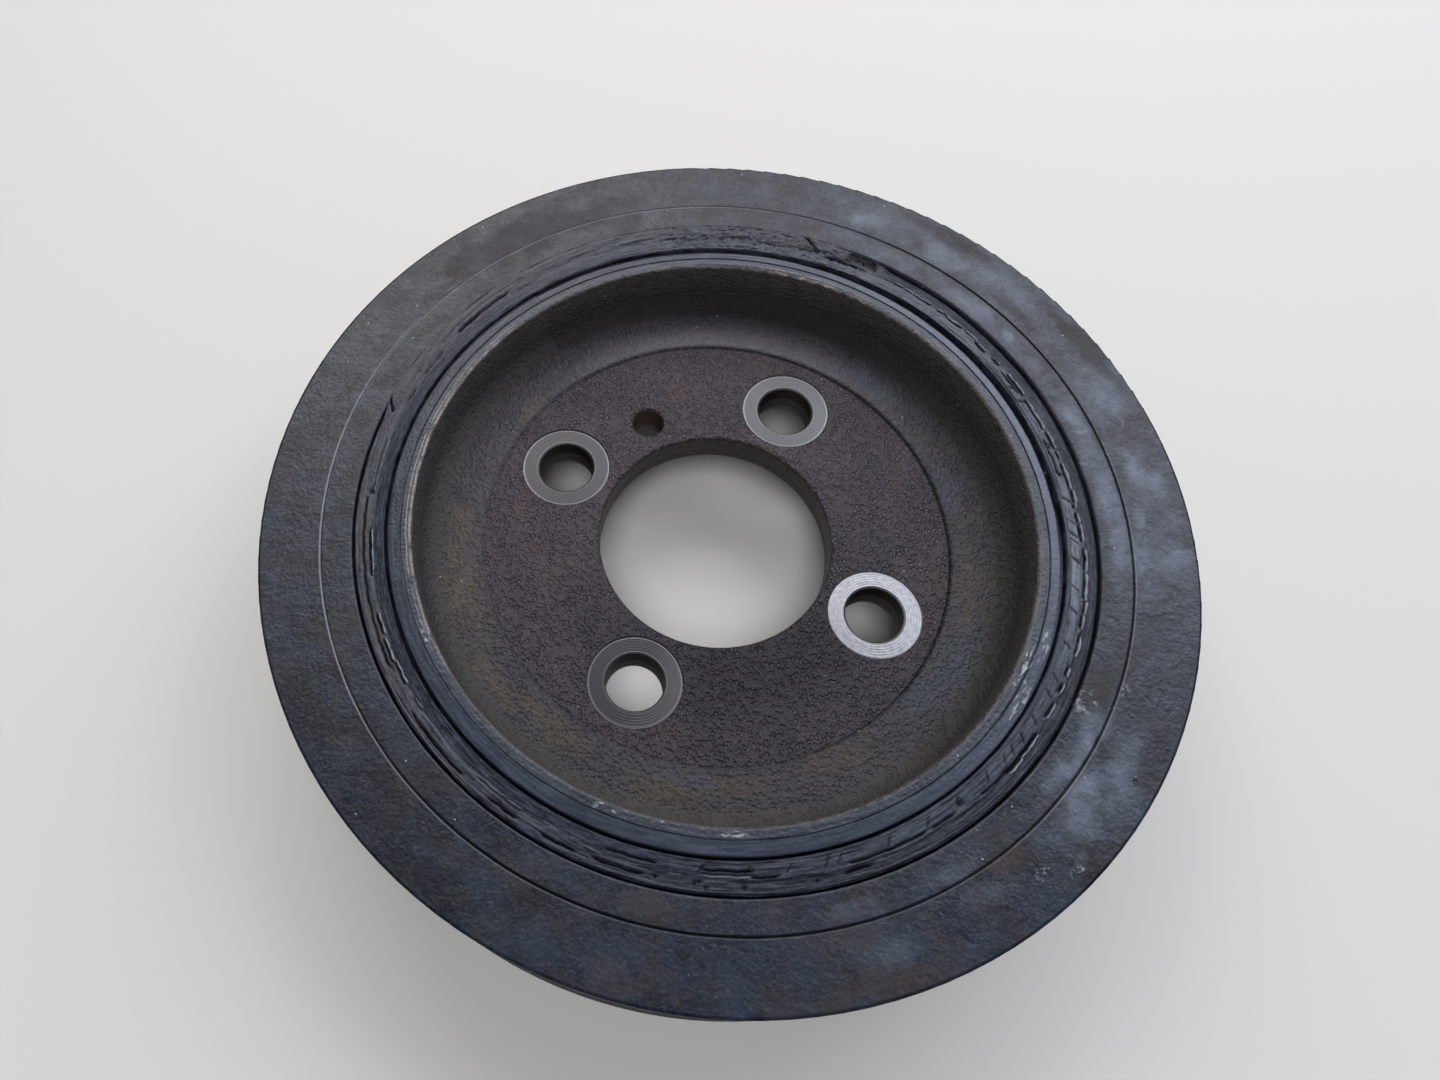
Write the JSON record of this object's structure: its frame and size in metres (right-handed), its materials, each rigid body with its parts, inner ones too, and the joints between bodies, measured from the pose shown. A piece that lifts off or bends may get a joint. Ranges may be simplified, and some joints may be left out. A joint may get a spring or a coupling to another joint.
{
  "type": "belt pulley",
  "caption": "Dished crankshaft belt pulley: a cast hub and a grooved outer ring held together by a torn rubber damping ring, with a centre bore, bolt holes and a locating hole.",
  "frame": {"origin": "on the pulley's axis, in the plane of its rear face, where it lies on a surface", "axes": "+Z along the axis, towards the dished front face; +X is 60 degrees before the first bolt hole, so the bolt holes lie at 60, 150, 240 and 330 degrees and the locating hole at 114 degrees"},
  "size_m": [0.165, 0.165, 0.034],
  "materials": {
    "hub_iron": "rough as-cast web, turned rim and bright spot faces, with light rust stains",
    "damper_rubber": "matt black with a torn skin and dust",
    "ring_iron": "satin slate grey coating over turned iron, stained and scratched"
  },
  "bodies": {
    "root": {"hub": "hub_iron", "damping_ring": "damper_rubber", "pulley_ring": "ring_iron"}
  },
  "joints": []
}
